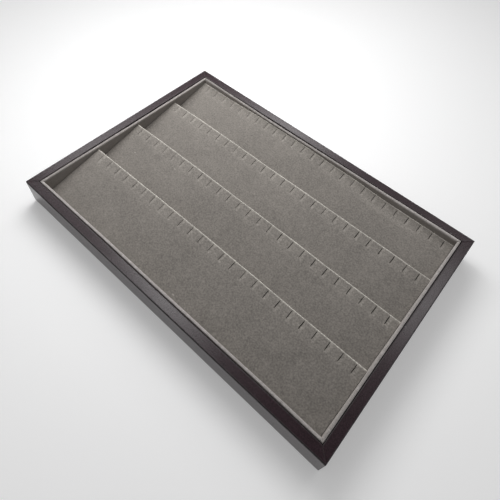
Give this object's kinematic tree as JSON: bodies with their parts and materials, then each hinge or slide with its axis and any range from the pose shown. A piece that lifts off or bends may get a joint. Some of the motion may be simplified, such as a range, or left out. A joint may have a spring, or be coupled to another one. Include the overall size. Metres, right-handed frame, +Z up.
{
  "type": "jewelry tray",
  "caption": "Flat rectangular display tray: leatherette frame with mitred corners and a lift-out suede-lined insert of sloping rows, each with a line of slits for jewelry.",
  "frame": {"origin": "centre of the underside, on the surface that the tray stands on", "axes": "+X along the long sides, to the right seen from the front; +Y from the front rail to the rear rail, up the slope of the rows; +Z up"},
  "size_m": [0.35, 0.24, 0.03],
  "materials": {
    "leatherette": "satin",
    "row_suede": "matte",
    "rim_suede": "matte",
    "felt": "matte",
    "foam": "matte",
    "mdf": "matte",
    "hardboard": "matte",
    "greyboard": "matte",
    "steel": "satin"
  },
  "bodies": {
    "frame": {"front_rail": "mdf", "right_rail": "mdf", "rear_rail": "mdf", "left_rail": "mdf", "front_wrap": "leatherette", "right_wrap": "leatherette", "rear_wrap": "leatherette", "left_wrap": "leatherette", "mitre_v_nails": "steel", "base_panel": "hardboard", "base_felt": "felt"},
    "insert": {"front_liner": "greyboard", "front_liner_cover": "rim_suede", "right_liner": "greyboard", "right_liner_cover": "rim_suede", "rear_liner": "greyboard", "rear_liner_cover": "rim_suede", "left_liner": "greyboard", "left_liner_cover": "rim_suede", "insert_floor": "greyboard", "row_1_board": "greyboard", "row_1_riser": "greyboard", "row_1_foam": "foam", "row_1_cover": "row_suede", "row_2_board": "greyboard", "row_2_riser": "greyboard", "row_2_foam": "foam", "row_2_cover": "row_suede", "row_3_board": "greyboard", "row_3_riser": "greyboard", "row_3_foam": "foam", "row_3_cover": "row_suede", "row_4_board": "greyboard", "row_4_riser": "greyboard", "row_4_foam": "foam", "row_4_cover": "row_suede"}
  },
  "joints": [
    {"name": "insert_lift", "type": "slide", "parent": "frame", "child": "insert", "axis": [0, 0, 1], "range_m": [0, 0.04]}
  ]
}
